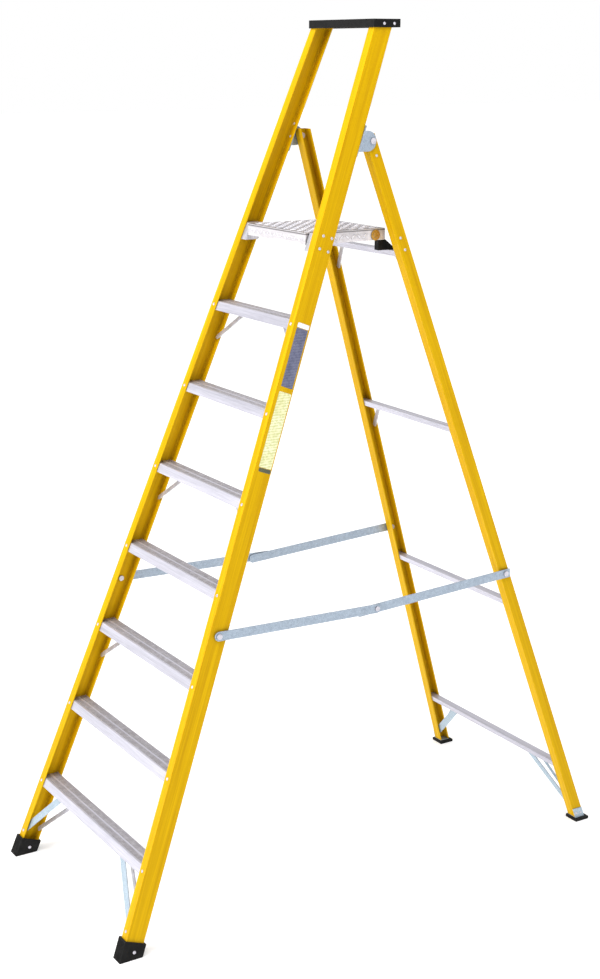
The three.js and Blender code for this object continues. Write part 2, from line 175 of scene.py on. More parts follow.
# ---- effects shared by the finishes
def make_lengthwise_fibre():
    """Glass strands that run the length of a leaning, flaring stile."""
    group, given, made = start_group(
        "lengthwise fibre", {"Lean": 0.38, "Flare": 0.084, "Fineness": 260.0}, ("Streak", "Height")
    )
    spot = object_spot(group)
    axes = axes_of(group, spot)
    spread_out = sums(group, "MULTIPLY", axes[2], given.outputs["Flare"])
    sideways = sums(group, "ADD", sums(group, "ABSOLUTE", axes[0]), spread_out)
    depthways = sums(group, "SUBTRACT", axes[1], sums(group, "MULTIPLY", axes[2], given.outputs["Lean"]))
    along = sums(group, "MULTIPLY", axes[2], 0.018)
    strands = place(group, "ShaderNodeCombineXYZ", {0: sideways, 1: depthways, 2: along}).outputs[0]
    fine = noise(group, strands, given.outputs["Fineness"], 4.0, 0.6)
    broad = noise(group, strands, sums(group, "MULTIPLY", given.outputs["Fineness"], 0.22), 2.0)
    mixed = sums(group, "ADD", sums(group, "MULTIPLY", fine, 0.55), sums(group, "MULTIPLY", broad, 0.45))
    group.links.new(spread(group, mixed, 0.36, 0.64), made.inputs["Streak"])
    group.links.new(fine, made.inputs["Height"])
    return group


def make_brushed_grain():
    """Drawing and rolling lines in bare metal; Stretch is small along the lines."""
    group, given, made = start_group(
        "brushed grain", {"Stretch": (0.03, 1.0, 1.0), "Fineness": 420.0}, ("Streak", "Height")
    )
    spot = object_spot(group)
    lines = stretched(group, spot, given.outputs["Stretch"])
    fine = noise(group, lines, given.outputs["Fineness"], 3.0, 0.65)
    broad = noise(group, lines, sums(group, "MULTIPLY", given.outputs["Fineness"], 0.12), 2.0)
    mixed = sums(group, "ADD", sums(group, "MULTIPLY", fine, 0.5), sums(group, "MULTIPLY", broad, 0.5))
    group.links.new(spread(group, mixed, 0.34, 0.66), made.inputs["Streak"])
    group.links.new(fine, made.inputs["Height"])
    return group


def make_zinc_spangle():
    """Crystals of a zinc coat, each a shade of its own."""
    group, given, made = start_group("zinc spangle", {"Fineness": 130.0}, ("Streak", "Height"))
    spot = object_spot(group)
    scale = given.outputs["Fineness"]
    crystals = place(group, "ShaderNodeTexVoronoi", {"Vector": spot, "Scale": scale, "Randomness": 1.0})
    shade = place(group, "ShaderNodeSeparateColor", {0: crystals.outputs["Color"]}).outputs[0]
    haze = noise(group, spot, sums(group, "MULTIPLY", given.outputs["Fineness"], 0.18), 3.0)
    mixed = sums(group, "ADD", sums(group, "MULTIPLY", shade, 0.45), sums(group, "MULTIPLY", haze, 0.55))
    group.links.new(spread(group, mixed, 0.2, 0.8), made.inputs["Streak"])
    group.links.new(haze, made.inputs["Height"])
    return group


def make_moulded_grain():
    """The fine pebble of a moulded rubber or plastic skin."""
    group, given, made = start_group("moulded grain", {"Fineness": 900.0}, ("Streak", "Height"))
    spot = object_spot(group)
    pebble = place(
        group,
        "ShaderNodeTexVoronoi",
        {"Vector": spot, "Scale": given.outputs["Fineness"]},
        feature="SMOOTH_F1",
    ).outputs["Distance"]
    cloud = noise(group, spot, sums(group, "MULTIPLY", given.outputs["Fineness"], 0.05), 3.0)
    group.links.new(spread(group, cloud, 0.35, 0.65), made.inputs["Streak"])
    group.links.new(pebble, made.inputs["Height"])
    return group


def make_fine_scratches():
    """Thin broken lines, crossing at two angles."""
    group, given, made = start_group("fine scratches", {"Scale": 22.0, "Amount": 0.5}, ("Scratch",))
    spot = object_spot(group)
    lines = []
    for turn, pull in (((0.3, 0.5, 0.9), (1.0, 9.0, 9.0)), ((1.1, 0.2, 2.3), (8.0, 1.0, 8.0))):
        pulled = place(group, "ShaderNodeMapping", {"Vector": spot, "Rotation": turn, "Scale": pull})
        wander = noise(group, pulled.outputs[0], given.outputs["Scale"], 2.0)
        off = sums(group, "ABSOLUTE", sums(group, "SUBTRACT", wander, 0.5))
        lines.append(spread(group, off, 0.0, 0.006, 1.0, 0.0))
    both = sums(group, "MAXIMUM", lines[0], lines[1])
    patches = spread(group, noise(group, spot, 14.0, 3.0), 0.5, 0.66)
    scratch = product(group, both, patches, given.outputs["Amount"])
    group.links.new(scratch, made.inputs["Scratch"])
    return group


def make_worn_edge():
    """Where outside corners have rubbed, broken up so that it isn't an outline."""
    group, given, made = start_group("worn edge", {"Width": 0.0025, "Amount": 0.6}, ("Wear",))
    true = place(group, "ShaderNodeNewGeometry").outputs["Normal"]
    soft = place(group, "ShaderNodeBevel", {"Radius": given.outputs["Width"]}, samples=4).outputs[0]
    agreement = place(group, "ShaderNodeVectorMath", {0: true, 1: soft}, operation="DOT_PRODUCT")
    corner = spread(group, agreement.outputs["Value"], 0.995, 0.86)
    spot = object_spot(group)
    broken = spread(group, noise(group, spot, 60.0, 5.0, 0.7), 0.42, 0.62)
    wear = product(group, corner, broken, given.outputs["Amount"])
    group.links.new(wear, made.inputs["Wear"])
    return group


def make_crevice_shade_and_grime():
    """Painted crevice shade with grime: the colour darkens in grooves, in inside corners and round
    rivets, as far as the occlusion reaches, broken up by noise.
    """
    group, given, made = start_group("crevice shade and grime", {"Reach": 0.01, "Amount": 0.6}, ("Shade and grime",))
    open_share = place(
        group, "ShaderNodeAmbientOcclusion", {"Distance": given.outputs["Reach"]}, samples=6
    ).outputs["AO"]
    closed = spread(group, open_share, 0.95, 0.25)
    spot = object_spot(group)
    broken = spread(group, noise(group, spot, 35.0, 4.0), 0.3, 0.6, 0.45, 1.0)
    shade_and_grime = product(group, closed, broken, given.outputs["Amount"])
    group.links.new(shade_and_grime, made.inputs["Shade and grime"])
    return group


def make_settled_dust():
    """A pale film on what faces up."""
    group, given, made = start_group("settled dust", {"Amount": 0.2}, ("Dust",))
    upward = spread(group, facing_up(group), 0.25, 1.0)
    spot = object_spot(group)
    drift = spread(group, noise(group, spot, 18.0, 5.0, 0.65), 0.35, 0.7)
    dust = product(group, upward, drift, given.outputs["Amount"])
    group.links.new(dust, made.inputs["Dust"])
    return group


FIBRE = make_lengthwise_fibre()
BRUSHED = make_brushed_grain()
SPANGLE = make_zinc_spangle()
MOULDED = make_moulded_grain()
SCRATCHES = make_fine_scratches()
WORN_EDGE = make_worn_edge()
CREVICE_SHADE_AND_GRIME = make_crevice_shade_and_grime()
DUST = make_settled_dust()
DUST_COLOUR = tone(196, 190, 178)
# colour of the painted crevice shade and grime
CREVICE_SHADE_AND_GRIME_COLOUR = tone(52, 44, 36)


# ---- finishes
def effect(tree, group, **values):
    node = place(tree, "ShaderNodeGroup", node_tree=group)
    for name, value in values.items():
        node.inputs[name].default_value = value
    return node


def make_finish(
    name,
    grain,
    grain_values,
    dark,
    light,
    worn,
    roughness,
    metallic=0.0,
    coat=0.0,
    shine=0.5,
    scratches=0.4,
    wear=0.6,
    wear_width=0.0022,
    shade_and_grime=0.5,
    shade_and_grime_reach=0.01,
    dust=0.12,
    bump=0.25,
    bump_depth=0.0003,
    over=None,
):
    """A finish in layers: grain, scratches, rubbed corners, painted crevice shade with grime, and dust,
    with their gloss and relief.
    over may paint something between the grain and the wear: it takes the tree and the colour so far."""
    material = bpy.data.materials.new(name)
    material.use_nodes = True
    material.diffuse_color = light
    tree = material.node_tree
    shader = tree.nodes["Principled BSDF"]
    shader.inputs["Metallic"].default_value = metallic
    shader.inputs["Coat Weight"].default_value = coat
    shader.inputs["Coat Roughness"].default_value = 0.18
    shader.inputs["Specular IOR Level"].default_value = shine

    pattern = effect(tree, grain, **grain_values)
    scratch = effect(tree, SCRATCHES, Amount=scratches).outputs["Scratch"]
    rubbed = effect(tree, WORN_EDGE, Amount=wear, Width=wear_width).outputs["Wear"]
    shade_and_dirt = effect(tree, CREVICE_SHADE_AND_GRIME, Amount=shade_and_grime, Reach=shade_and_grime_reach).outputs["Shade and grime"]
    film = effect(tree, DUST, Amount=dust).outputs["Dust"]

    colour = blended(tree, pattern.outputs["Streak"], dark, light)
    if over:
        colour = over(tree, colour)
    colour = blended(tree, scratch, colour, worn)
    colour = blended(tree, rubbed, colour, worn)
    # painted crevice shade and grime: the occlusion mask darkens the colour
    colour = blended(tree, shade_and_dirt, colour, CREVICE_SHADE_AND_GRIME_COLOUR)
    colour = blended(tree, film, colour, DUST_COLOUR)
    tree.links.new(colour, shader.inputs["Base Color"])

    gloss = spread(tree, pattern.outputs["Streak"], 0.0, 1.0, roughness + 0.06, roughness - 0.06)
    for mask, change in ((scratch, 0.2), (rubbed, 0.12), (shade_and_dirt, 0.3), (film, 0.4)):
        gloss = sums(tree, "ADD", gloss, sums(tree, "MULTIPLY", mask, change), clamp=True)
    tree.links.new(gloss, shader.inputs["Roughness"])

    relief = sums(tree, "SUBTRACT", pattern.outputs["Height"], sums(tree, "MULTIPLY", scratch, 0.8))
    raised = place(tree, "ShaderNodeBump", {"Strength": bump, "Distance": bump_depth, "Height": relief})
    tree.links.new(raised.outputs[0], shader.inputs["Normal"])
    return material


PLATE_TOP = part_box("platform_plate")[1].z
# how strongly the painted shade darkens the plate's top face
PLATE_TOP_SHADE = 0.72
# where the painted shade line along the rolled rim lies below the top, and how dark it is
ROLL_LOW, ROLL_HIGH, ROLL_SHADE = 0.0065, 0.0016, 0.72
LOW_BLUR, HIGH_BLUR = 0.0013, 0.0008


def plate_painted_shade(tree, colour):
    """Painted shade: the top face darkened, and a painted shade line where the plate's rim is rolled
    over.
    """
    # painted shade: faces that look up are darkened towards grey
    upward = spread(tree, facing_up(tree), 0.6, 0.9, 0.0, PLATE_TOP_SHADE)
    colour = blended(tree, upward, colour, tone(104, 100, 102))
    height = axes_of(tree, object_spot(tree))[2]
    # painted shade line in a band just below the top, along the rolled rim
    below = spread(tree, height, PLATE_TOP - ROLL_LOW, PLATE_TOP - ROLL_LOW + LOW_BLUR)
    above = spread(tree, height, PLATE_TOP - ROLL_HIGH, PLATE_TOP - ROLL_HIGH - HIGH_BLUR)
    rim_shade = product(tree, below, above, ROLL_SHADE)
    return blended(tree, rim_shade, colour, tone(70, 66, 64))


TREAD_LOW, TREAD_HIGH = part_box("tread_4")
TREAD_FRONT = TREAD_LOW.y - TREAD_LOW.z * FRONT_LEAN
TREAD_BACK = TREAD_HIGH.y - TREAD_HIGH.z * FRONT_LEAN
NOSING, HEEL, SPINE_HALF = 0.0062, 0.0022, 0.0030
BAND_BLUR, SPINE_BLUR = 0.0006, 0.0004


def ribbed_band_shade_and_dirt(tree, colour):
    """Painted groove shade and dirt over the ribbed bands of a tread's top, each side of its smooth
    middle line.
    """
    spot = object_spot(tree)
    axes = axes_of(tree, spot)
    depth = sums(tree, "SUBTRACT", axes[1], sums(tree, "MULTIPLY", axes[2], FRONT_LEAN))
    after_nosing = spread(tree, depth, TREAD_FRONT + NOSING - BAND_BLUR, TREAD_FRONT + NOSING)
    before_heel = spread(tree, depth, TREAD_BACK - HEEL + BAND_BLUR, TREAD_BACK - HEEL)
    off_spine = sums(tree, "ABSOLUTE", sums(tree, "SUBTRACT", depth, (TREAD_FRONT + TREAD_BACK) / 2))
    ribs = spread(tree, off_spine, SPINE_HALF - SPINE_BLUR, SPINE_HALF + SPINE_BLUR)
    upward = spread(tree, facing_up(tree), 0.3, 0.8)
    patchy = spread(tree, noise(tree, spot, 9.0, 4.0), 0.3, 0.7, 0.42, 0.62)
    # painted groove shade and dirt on upward faces, broken into patches
    share = product(tree, after_nosing, before_heel, ribs, upward, patchy)
    return blended(tree, share, colour, tone(118, 104, 92))


def print_bands(dark, count, low, high):
    """Plain bands across a label film, with nothing to read."""

    def over(tree, colour):
        spot = object_spot(tree)
        height = axes_of(tree, spot)[2]
        share = spread(tree, height, low, high, 0.0, float(count))
        wave = sums(tree, "PINGPONG", share, 0.5)
        blotches = noise(tree, spot, 110.0, 5.0, 0.7)
        mottled = sums(tree, "ADD", sums(tree, "MULTIPLY", wave, 0.4), blotches)
        return blended(tree, spread(tree, mottled, 0.52, 0.68, 0.0, 0.6), colour, dark)

    return over


YELLOW = dict(
    grain=FIBRE,
    dark=tone(200, 152, 0),
    light=tone(224, 180, 0),
    worn=tone(240, 206, 50),
    roughness=0.42,
    shine=0.08,
    scratches=0.22,
    wear=0.45,
    shade_and_grime=0.5,
    shade_and_grime_reach=0.016,
    dust=0.03,
    bump=0.35,
)
BARE = dict(
    grain=BRUSHED,
    dark=tone(180, 179, 190),
    light=tone(218, 216, 228),
    worn=tone(246, 245, 250),
    metallic=0.45,
    roughness=0.36,
    shade_and_grime=0.6,
    shade_and_grime_reach=0.006,
    dust=0.1,
)
GALVANISED = dict(
    grain=SPANGLE,
    grain_values={"Fineness": 380.0},
    dark=tone(148, 162, 178),
    light=tone(178, 192, 207),
    worn=tone(200, 210, 220),
    metallic=0.5,
    roughness=0.46,
    dust=0.04,
    bump=0.2,
)
MOULDING = dict(
    grain=MOULDED,
    worn=tone(46, 46, 46),
    wear=0.3,
    shine=0.22,
    scratches=0.2,
    shade_and_grime=0.2,
    dust=0.05,
    bump=0.4,
    bump_depth=0.0004,
)
ALONG_X, ALONG_Y, ALONG_Z = (0.03, 1.0, 1.0), (1.0, 0.03, 1.0), (1.0, 1.0, 0.03)

finishes = {
    "front_yellow": make_finish(
        "front stile yellow", grain_values={"Lean": FRONT_LEAN, "Flare": FRONT_FLARE}, **YELLOW
    ),
    "rear_yellow": make_finish(
        "rear stile yellow", grain_values={"Lean": -REAR_LEAN, "Flare": REAR_FLARE}, **YELLOW
    ),
    "tread": make_finish(
        "ribbed tread aluminium",
        grain_values={"Stretch": ALONG_X},
        over=ribbed_band_shade_and_dirt,
        **{**BARE, "shade_and_grime_reach": 0.004},
    ),
    "crossbar": make_finish("crossbar aluminium", grain_values={"Stretch": ALONG_X}, **BARE),
    "brace": make_finish(
        "brace aluminium", grain_values={"Stretch": ALONG_Z}, **{**BARE, "dark": tone(160, 160, 158)}
    ),
    "plate": make_finish(
        "platform aluminium",
        grain_values={"Stretch": ALONG_X},
        over=plate_painted_shade,
        **{
            **BARE,
            "dark": tone(190, 186, 190),
            "light": tone(232, 228, 232),
            "shade_and_grime": 0.95,
            "shade_and_grime_reach": 0.006,
        },
    ),
    "plate_bars": make_finish("chequer bar aluminium",
        grain_values={"Stretch": ALONG_Y, "Fineness": 500.0},
        **{**BARE, "light": tone(246, 244, 249), "wear": 0.9},
    ),
    "zinc": make_finish("zinc plated steel", **GALVANISED),
    "pale_zinc": make_finish(
        "pale zinc strip", **{**GALVANISED, "dark": tone(160, 178, 192), "light": tone(188, 204, 216)}
    ),
    "gold_zinc": make_finish(
        "yellow passivated zinc",
        **{**GALVANISED, "dark": tone(150, 104, 22), "light": tone(206, 158, 60)},
    ),
    "rivet": make_finish(
        "rivet aluminium",
        grain_values={"Stretch": (1.0, 1.0, 1.0), "Fineness": 700.0},
        **{**BARE, "shade_and_grime": 0.7, "roughness": 0.3, "light": tone(226, 222, 230)},
    ),
    "rubber": make_finish(
        "black rubber",
        grain_values={"Fineness": 700.0},
        dark=tone(5, 5, 5),
        light=tone(15, 15, 15),
        roughness=0.7,
        **MOULDING,
    ),
    "plastic": make_finish(
        "black moulded plastic",
        grain_values={"Fineness": 1100.0},
        dark=tone(4, 4, 4),
        light=tone(10, 10, 10),
        roughness=0.52,
        **MOULDING,
    ),
}


# ---- shells: closed bodies as points and faces
def slab(outline, rise):
    """A plate: an outline and the same outline moved by rise."""
    count = len(outline)
    points = [Vector(p) for p in outline] + [Vector(p) + rise for p in outline]
    sides = [(i, (i + 1) % count, (i + 1) % count + count, i + count) for i in range(count)]
    return points, [tuple(reversed(range(count))), tuple(range(count, 2 * count)), *sides]


def square_to(normal):
    """Two directions that lie in the face with that normal."""
    helper = Vector((0, 0, 1)) if abs(normal.z) < 0.9 else Vector((1, 0, 0))
    first = helper.cross(normal).normalized()
    return first, normal.cross(first)


def turned(profile, centre, normal, around):
    """A turned body: profile is (radius, height) pairs, from the base's rim to the tip."""
    first, second = square_to(normal)
    points = []
    for radius, height in profile:
        for k in range(around):
            angle = math.tau * k / around
            outward = first * math.cos(angle) + second * math.sin(angle)
            points.append(centre + normal * height + outward * radius)
    faces = [tuple(reversed(range(around)))]
    for ring in range(len(profile) - 1):
        for k in range(around):
            a, b = ring * around + k, ring * around + (k + 1) % around
            faces.append((a, b, b + around, a + around))
    last = (len(profile) - 1) * around
    faces.append(tuple(range(last, last + around)))
    return points, faces


RIVET_SHAPE = (
    (0.96, -0.1),
    (1.0, 0.05),
    (0.98, 0.22),
    (0.84, 0.62),
    (0.58, 0.92),
    (0.32, 1.0),
    (0.24, 0.8),
)
RIVET_AROUND = 16


def rivet(centre, normal, radius, height):
    """A blind rivet's head, with the dimple where its stem broke off."""
    profile = [(r * radius, h * height) for r, h in RIVET_SHAPE]
    return turned(profile, centre, normal, RIVET_AROUND)


def flat_bar(start, end, face, width, thickness, ends=7):
    """A flat bar with round ends, lying in the plane that face is square to."""
    along = (end - start).normalized()
    across = face.cross(along).normalized()
    outline = []
    for middle, sign in ((end, 1), (start, -1)):
        for k in range(ends):
            angle = math.pi * (k / (ends - 1) - 0.5)
            outward = (along * math.cos(angle) + across * math.sin(angle)) * sign
            outline.append(middle + outward * width / 2)
    return slab(outline, face * thickness)


def lozenge(centre, along, normal, length, width, height):
    """A raised tread bar: long oval foot, shorter oval crown."""
    across = normal.cross(along)
    points, around = [], 10
    for share, level in ((1.0, -0.1), (0.94, 0.45), (0.68, 1.0)):
        for k in range(around):
            angle = math.tau * k / around
            reach = along * math.cos(angle) * length / 2 * (0.5 + share / 2)
            sideways = across * math.sin(angle) * width / 2 * share
            points.append(centre + reach + sideways + normal * height * level)
    faces = [tuple(reversed(range(around))), tuple(range(2 * around, 3 * around))]
    for ring in range(2):
        for k in range(around):
            a, b = ring * around + k, ring * around + (k + 1) % around
            faces.append((a, b, b + around, a + around))
    return points, faces


def mirrored(shell):
    points, faces = shell
    return [Vector((-p.x, p.y, p.z)) for p in points], [tuple(reversed(f)) for f in faces]


def make_piece(name, body, finish, shells, smooth_under=40.0):
    """One named piece from closed shells, riding on its body."""
    points, faces = [], []
    for shell_points, shell_faces in shells:
        start = len(points)
        points += [tuple(p) for p in shell_points]
        faces += [tuple(start + i for i in face) for face in shell_faces]
    mesh = bpy.data.meshes.new(name)
    mesh.from_pydata(points, [], faces)
    mesh.materials.append(finish)
    mesh.shade_smooth()
    mesh.set_sharp_from_angle(angle=math.radians(smooth_under))
    made = bpy.data.objects.new(name, mesh)
    bpy.context.scene.collection.objects.link(made)
    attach(made, body)
    return made


def make_pair(name, body, finish, shells):
    """The right piece and its mirror image; body may hold {side}."""
    make_piece(name + "_right", body.format(side="right"), finish, shells)
    make_piece(name + "_left", body.format(side="left"), finish, [mirrored(s) for s in shells])


# ---- the frame's own pieces
# how a name starts, its finish and the radius of its corners
FINISH_OF = (
    ("front_stile", "front_yellow", 0.0012),
    ("rear_stile", "rear_yellow", 0.001),
    ("tread_brace", "brace", 0.0005),
    ("tread", "tread", 0.0004),
    ("rear_crossbar", "crossbar", 0.0005),
    ("rear_brace", "brace", 0.0005),
    ("front_brace", "pale_zinc", 0.0005),
    ("rear_foot_brace", "pale_zinc", 0.0005),
    ("rear_foot_bracket", "pale_zinc", 0.0005),
    ("rear_foot_pad", "rubber", 0.0015),
    ("front_boot", "rubber", 0.0018),
    ("platform_plate", "plate", 0.0012),
    ("platform_rest", "plastic", 0.0012),
    ("platform_bracket", "brace", 0.0006),
    ("platform_pin", "rivet", 0.0004),
    ("top_cap", "plastic", 0.0014),
    ("hinge_bracket", "zinc", 0.0006),
    ("hinge_pin", "rivet", 0.0006),
    ("stay", "zinc", 0.0005),
)


def finish_frame():
    """Gives each solid of the frame its finish and softens its corners."""
    for name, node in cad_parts.items():
        _, finish, radius = next(row for row in FINISH_OF if name.startswith(row[0]))
        if name.startswith("stay") and "pin" in name:
            finish = "rivet"
        node.data.materials.clear()
        node.data.materials.append(finishes[finish])
        weld = node.modifiers.new("weld", "WELD")
        weld.merge_threshold = 0.00001
        soften = node.modifiers.new("soften", "BEVEL")
        soften.width = radius
        soften.segments = 2
        soften.limit_method = "ANGLE"
        soften.angle_limit = math.radians(30)


# ---- rivets: each size is a head's radius and height
FLANGE_RIVET = (0.0048, 0.0022)
BRACKET_RIVET = (0.0046, 0.0022)
HINGE_RIVET = (0.0042, 0.0022)
REAR_WEB_RIVET = (0.0044, 0.0022)
CAP_RIVET = (0.0046, 0.0028)
BOOT_RIVET = (0.0052, 0.003)
CROSSBAR_RIVET = (0.0042, 0.002)
FOOT_RIVET = (0.0042, 0.0022)
STOP_RIVET = (0.007, 0.0026)
BRACE_RIVET = (0.004, 0.002)

FLANGE_RIVET_IN = 0.0155
TREAD_RIVET_DROP = 0.0096
FRONT_BRACE_RIVET_HEIGHT = 0.078
CROSSBAR_RIVET_IN, CROSSBAR_RIVET_DROP = 0.017, 0.009
# back from the middle of the platform bracket, and up from its top
BRACKET_RIVET_SPOTS = ((0.0003, -0.0045), (0.0288, -0.0133), (-0.0146, -0.0404), (0.0139, -0.0511))
HINGE_RIVET_X, HINGE_RIVET_DROPS = 0.180, (0.008, 0.046)
HINGE_WEB_RIVET_Y, HINGE_WEB_RIVET_RISE = 0.1075, 0.0025
CROSSBAR_WEB_RIVETS = ((0.184, 1.9635), (0.199, 1.928))    # y and height
CAP_RIVETS_BACK, CAP_RIVET_DROP = (0.0365, 0.0725), 0.0012
BOOT_RIVET_BACK, BOOT_RIVET_HEIGHT = 0.048, 0.022
FOOT_RIVETS = ((0.8262, 0.0262), (0.8452, 0.0246))         # y and height
STOP_RIVET_FORWARD = 0.050

BOOT_RIBS, BOOT_RIB_IN, BOOT_RIB_LOW, BOOT_RIB_SHORT = 9, 0.005, 0.004, 0.006
BOOT_RIB = (0.0016, 0.0009)      # width and thickness


def on_front_flange(z):
    return Vector((front_side(z) - FLANGE_RIVET_IN, front_face(z) - PROUD, z))


def on_front_web(y, z):
    return Vector((front_side(z) + PROUD, y, z))


def on_rear_web(y, z):
    return Vector((rear_side(z) + PROUD, y, z))


def add_front_rivets():
    heights = [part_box(tread)[1].z - TREAD_RIVET_DROP for tread in TREADS]
    heights.append(FRONT_BRACE_RIVET_HEIGHT)
    make_pair(
        "front_flange_rivets",
        "front_frame",
        finishes["rivet"],
        [rivet(on_front_flange(z), FORWARD, *FLANGE_RIVET) for z in heights],
    )


def add_platform_bracket_rivets():
    pivot_low, pivot_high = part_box("platform_bracket_right")
    middle_y, top = (pivot_low.y + pivot_high.y) / 2, pivot_high.z
    shells = [
        rivet(on_front_web(middle_y + back, top + up), FRONT_OUT, *BRACKET_RIVET)
        for back, up in BRACKET_RIVET_SPOTS
    ]
    make_pair("platform_bracket_rivets", "front_frame", finishes["rivet"], shells)


def add_hinge_rivets():
    bracket_low, bracket_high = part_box("hinge_bracket_right")
    inner = STILE_DEPTH - STILE_WALL / math.cos(FRONT_ANGLE)
    shells = []
    for drop in HINGE_RIVET_DROPS:
        z = bracket_high.z - drop
        spot = Vector((HINGE_RIVET_X, front_face(z) + inner - PROUD, z))
        shells.append(rivet(spot, FORWARD, *HINGE_RIVET))
    make_pair("hinge_rivets", "front_frame", finishes["rivet"], shells)

    spots = [(HINGE_WEB_RIVET_Y, bracket_low.z + HINGE_WEB_RIVET_RISE), *CROSSBAR_WEB_RIVETS]
    shells = [rivet(on_rear_web(y, z), REAR_OUT, *REAR_WEB_RIVET) for y, z in spots]
    make_pair("rear_hinge_rivets", "rear_frame", finishes["rivet"], shells)


def add_cap_rivets():
    cap_low, cap_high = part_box("top_cap")
    x, z = cap_high.x + PROUD, (cap_low.z + cap_high.z) / 2 - CAP_RIVET_DROP
    shells = [rivet(Vector((x, cap_low.y + back, z)), OUTWARD, *CAP_RIVET) for back in CAP_RIVETS_BACK]
    make_pair("cap_rivets", "front_frame", finishes["rivet"], shells)


def add_boot_details():
    boot_low, boot_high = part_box("front_boot_right")
    front_y, outer_x, top = boot_low.y, boot_high.x, boot_high.z
    width = outer_x - boot_low.x - top * FRONT_FLARE
    y, z = front_y + BOOT_RIVET_BACK, BOOT_RIVET_HEIGHT
    web_x = outer_x - z * FRONT_FLARE
    shells = [
        rivet(Vector((web_x + PROUD, y, z)), FRONT_OUT, *BOOT_RIVET),
        rivet(Vector((web_x - width - PROUD, y, z)), -FRONT_OUT, *BOOT_RIVET),
    ]
    make_pair("boot_rivets", "front_frame", finishes["rivet"], shells)

    ribs = []
    slope = Vector((-FRONT_FLARE, FRONT_LEAN, 1))
    for k in range(BOOT_RIBS):
        x = outer_x - BOOT_RIB_IN - (width - 2 * BOOT_RIB_IN) * k / (BOOT_RIBS - 1)
        foot = Vector((x, front_y + PROUD, 0))
        start, end = foot + slope * BOOT_RIB_LOW, foot + slope * (top - BOOT_RIB_SHORT)
        ribs.append(flat_bar(start, end, FORWARD, *BOOT_RIB, ends=5))
    make_pair("boot_ribs", "front_frame", finishes["rubber"], ribs)


def add_rear_rivets():
    shells = []
    for bar in CROSSBARS:
        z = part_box(bar)[1].z - CROSSBAR_RIVET_DROP
        spot = Vector((rear_side(z) - CROSSBAR_RIVET_IN, rear_face(z) + PROUD, z))
        shells.append(rivet(spot, BACKWARD, *CROSSBAR_RIVET))
    make_pair("rear_flange_rivets", "rear_frame", finishes["rivet"], shells)

    plate_low, plate_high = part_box("rear_foot_bracket_right")
    shells = []
    for y, z in FOOT_RIVETS:
        x = plate_high.x - (z - plate_low.z) * REAR_FLARE + PROUD
        shells.append(rivet(Vector((x, y, z)), REAR_OUT, *FOOT_RIVET))
    make_pair("foot_bracket_rivets", "rear_frame", finishes["rivet"], shells)


def middle_of(node):
    low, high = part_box(node)
    return (low + high) / 2


def add_knuckle_rivets():
    """The stop rivet on each stay, a short way in front of its knuckle."""
    knuckle, pivot = middle_of("stay_knuckle_pin_right"), middle_of("stay_front_pin_right")
    slope = (knuckle.z - pivot.z) / (knuckle.y - pivot.y)
    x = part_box("stay_front_link_right")[1].x + PROUD
    spot = Vector((x, knuckle.y - STOP_RIVET_FORWARD, knuckle.z - STOP_RIVET_FORWARD * slope))
    make_pair(
        "stay_stop_rivets",
        "stay_front_{side}",
        finishes["zinc"],
        [rivet(spot, OUTWARD, *STOP_RIVET)],
    )


# ---- platform
CHEQUER_PITCH = 0.0190
CHEQUER_LENGTH, CHEQUER_WIDTH, CHEQUER_HEIGHT = 0.0205, 0.0052, 0.0016
LIP_SHARE, SKIRT_SHARE = 0.35, 0.8           # how proud the bars stand, beside those on top
PLATE_EDGE = 0.008                           # plain border round the bars
LIP_EDGE, LIP_PLAIN = 0.004, 0.013           # below the bars, and in all
SKIRT_START, SKIRT_PLAIN = 0.045, 0.10       # behind the pivot, and in all
BOSS_BACK, BOSS_RISE = 0.0355, 0.0155        # from the plate's back edge and from its lower edge
BOSS_AROUND = 28
BOSS_SHAPE = (
    (0.0155, -0.0002),
    (0.0160, 0.0006),
    (0.0158, 0.0022),
    (0.0140, 0.0030),
    (0.0088, 0.0032),
    (0.0080, 0.0046),
    (0.0040, 0.0052),
)


def chequer(corner, first, second, normal, height):
    """Raised bars that cross at right angles, row by row, over the rectangle at corner."""
    shells = []
    columns = int(first.length / CHEQUER_PITCH)
    rows = max(1, int(second.length / CHEQUER_PITCH))
    one, two = first.normalized(), second.normalized()
    for i in range(columns):
        for j in range(rows):
            spot = corner + first * ((i + 0.5) / columns) + second * ((j + 0.5) / rows)
            along = (one + two if (i + j) % 2 else one - two).normalized()
            centre = spot + normal * PROUD
            shells.append(lozenge(centre, along, normal, CHEQUER_LENGTH, CHEQUER_WIDTH, height))
    return shells


